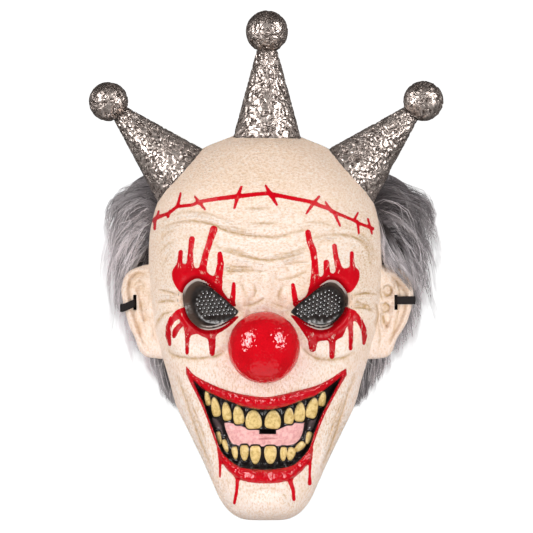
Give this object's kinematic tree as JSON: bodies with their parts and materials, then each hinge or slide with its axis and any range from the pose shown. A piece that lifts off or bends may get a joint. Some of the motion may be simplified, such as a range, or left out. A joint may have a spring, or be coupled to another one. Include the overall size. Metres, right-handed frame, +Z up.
{
  "type": "clown face mask",
  "caption": "Moulded clown face mask with ball nose, wide toothed grin, ball-tipped horns, side tufts of hair and an elastic strap, worn over the front of the head.",
  "frame": {"origin": "middle of the open back of the face at eye height, where the wearer's head meets it", "axes": "+X to the right of the picture, +Y backwards out of the open back, +Z up"},
  "size_m": [0.235, 0.2473, 0.3385],
  "materials": {
    "skin": "satin painted moulding with an ochre wash in its folds and glossy red paint",
    "mouth": "dark painted gums, pink tongue and yellowed teeth",
    "nose": "glossy red paint",
    "eye": "dark paint with a pale lid",
    "silver": "crinkled silver foil with a dark wash",
    "hair": "long grey synthetic hair",
    "strap": "black woven elastic"
  },
  "bodies": {
    "root": {"face_shell": "skin", "mouth_insert": "mouth", "nose": "nose", "eye_insert_left": "eye", "eye_insert_right": "eye", "horn_left": "silver", "horn_centre": "silver", "horn_right": "silver", "horn_ball_left": "silver", "horn_ball_centre": "silver", "horn_ball_right": "silver", "hair_left": "hair", "hair_right": "hair", "head_strap": "strap", "strap_stop_left": "strap", "strap_stop_right": "strap"}
  },
  "joints": []
}
